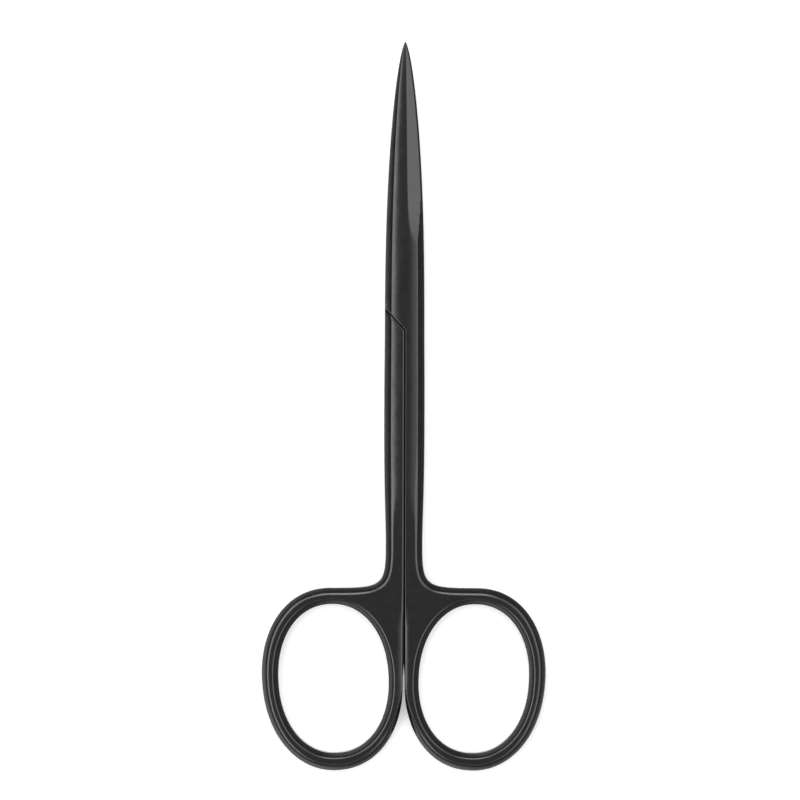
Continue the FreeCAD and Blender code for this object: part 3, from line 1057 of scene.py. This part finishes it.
# %% Table
reach, table_lift = 3.0, 0.35
table = bpy.data.objects.new("table", bpy.data.meshes.new("table"))
corners = [(-reach, -reach, 0), (reach, -reach, 0), (reach, reach, 0), (-reach, reach, 0)]
table.data.from_pydata(corners, [], [(0, 1, 2, 3)])
scene.collection.objects.link(table)
white = bpy.data.materials.new("white_table")
white.use_nodes = True
surface = white.node_tree.nodes["Principled BSDF"]
surface.inputs["Base Color"].default_value = (0.93, 0.93, 0.93, 1.0)
surface.inputs["Roughness"].default_value = 0.9
surface.inputs["Specular IOR Level"].default_value = 0.0
surface.inputs["Emission Color"].default_value = (1.0, 1.0, 1.0, 1.0)
table.data.materials.append(white)
print("table of", 2 * reach, "m")


# %% The lift that only such rays see
def combine(tree, operation, first, second):
    """A Math node. The second value is a socket or a number."""
    node = tree.nodes.new("ShaderNodeMath")
    node.operation = operation
    tree.links.new(first, node.inputs[0])
    if isinstance(second, float):
        node.inputs[1].default_value = second
    else:
        tree.links.new(second, node.inputs[1])
    return node.outputs["Value"]


ray = white.node_tree.nodes.new("ShaderNodeLightPath")
lift = ray.outputs["Is Camera Ray"]
for kind in ("Is Glossy Ray", "Is Transmission Ray"):
    lift = combine(white.node_tree, "ADD", lift, ray.outputs[kind])
lift = combine(white.node_tree, "MULTIPLY", lift, table_lift)
white.node_tree.links.new(lift, surface.inputs["Emission Strength"])
print("table lifted by", table_lift)

# %% [markdown]
# ## Light
#
# Glossy black shows only what it reflects, so the light is a set of soft panels with dark gaps
# between them: a bright one on the left, a dimmer one on the right, a narrow one inside it, one
# beyond the tip and a weak one beyond the rings. The flat faces mirror the dark gap overhead. A
# panel's strength is given as the brightness that a mirror would show, because that is what the
# photograph can be compared with. A picture of a studio would light it too, but panels can be
# moved one by one until each reflection lies in its place.

# %% Light panels
panel_height = 1.0


def panel(name, centre, size, radiance):
    """A level panel above the table."""
    light = bpy.data.lights.new(name, "AREA")
    light.shape = "RECTANGLE"
    light.size, light.size_y = size
    light.energy = radiance * math.pi * size[0] * size[1]
    holder = bpy.data.objects.new(name, light)
    scene.collection.objects.link(holder)
    holder.location = (*centre, panel_height)
    print(name, round(light.energy, 2), "W")


panel("panel_left", (-0.67, 0.1), (0.68, 2.2), 3.1)
panel("panel_right", (0.82, 0.0), (0.76, 2.0), 2.0)
panel("panel_right_inner", (0.34, 0.0), (0.2, 2.0), 0.7)
panel("panel_top", (0.0, 0.85), (0.5, 0.8), 4.6)
panel("panel_foot", (0.0, -0.95), (0.5, 0.6), 0.8)

# %% [markdown]
# The room around the panels is a grey that changes with height: bright at the horizon, dark at
# the panels' height and a little lighter overhead. The left side and the right side have a ramp
# each, and the two are mixed across the middle.

# %% Room
room = bpy.data.worlds.new("room")
scene.world = room
room.use_nodes = True
tree = room.node_tree
parts = tree.nodes.new("ShaderNodeSeparateXYZ")
direction = tree.nodes.new("ShaderNodeTexCoord").outputs["Generated"]
tree.links.new(direction, parts.inputs["Vector"])


def brightness_by_height(stops):
    """The room's brightness from the horizon (0) to overhead (1)."""
    ramp = tree.nodes.new("ShaderNodeValToRGB")
    tree.links.new(parts.outputs["Z"], ramp.inputs["Fac"])
    marks = ramp.color_ramp.elements
    for mark, (position, grey) in zip(marks, (stops[0], stops[-1])):
        mark.position = position
        mark.color = (grey, grey, grey, 1.0)
    for position, grey in stops[1:-1]:
        marks.new(position).color = (grey, grey, grey, 1.0)
    return ramp.outputs["Color"]


overhead = [(0.85, 0.23), (1.0, 0.31)]
left_wall = [(0.0, 1.8), (0.12, 1.3), (0.25, 0.45), (0.38, 0.06), (0.6, 0.04)]
right_wall = [(0.0, 0.9), (0.08, 0.35), (0.3, 0.2), (0.6, 0.16)]
left = brightness_by_height(left_wall + overhead)
right = brightness_by_height(right_wall + overhead)
print("brightness overhead", overhead[-1][1])

# %% The two sides mixed
side_blend = 0.25
side = tree.nodes.new("ShaderNodeMapRange")
side.inputs["From Min"].default_value = -side_blend
side.inputs["From Max"].default_value = side_blend
tree.links.new(parts.outputs["X"], side.inputs["Value"])
both = tree.nodes.new("ShaderNodeMix")
both.data_type = "RGBA"
tree.links.new(side.outputs["Result"], both.inputs["Factor"])
tree.links.new(left, both.inputs["A"])
tree.links.new(right, both.inputs["B"])
tree.links.new(both.outputs["Result"], tree.nodes["Background"].inputs["Color"])
print("nodes of the room", len(tree.nodes))
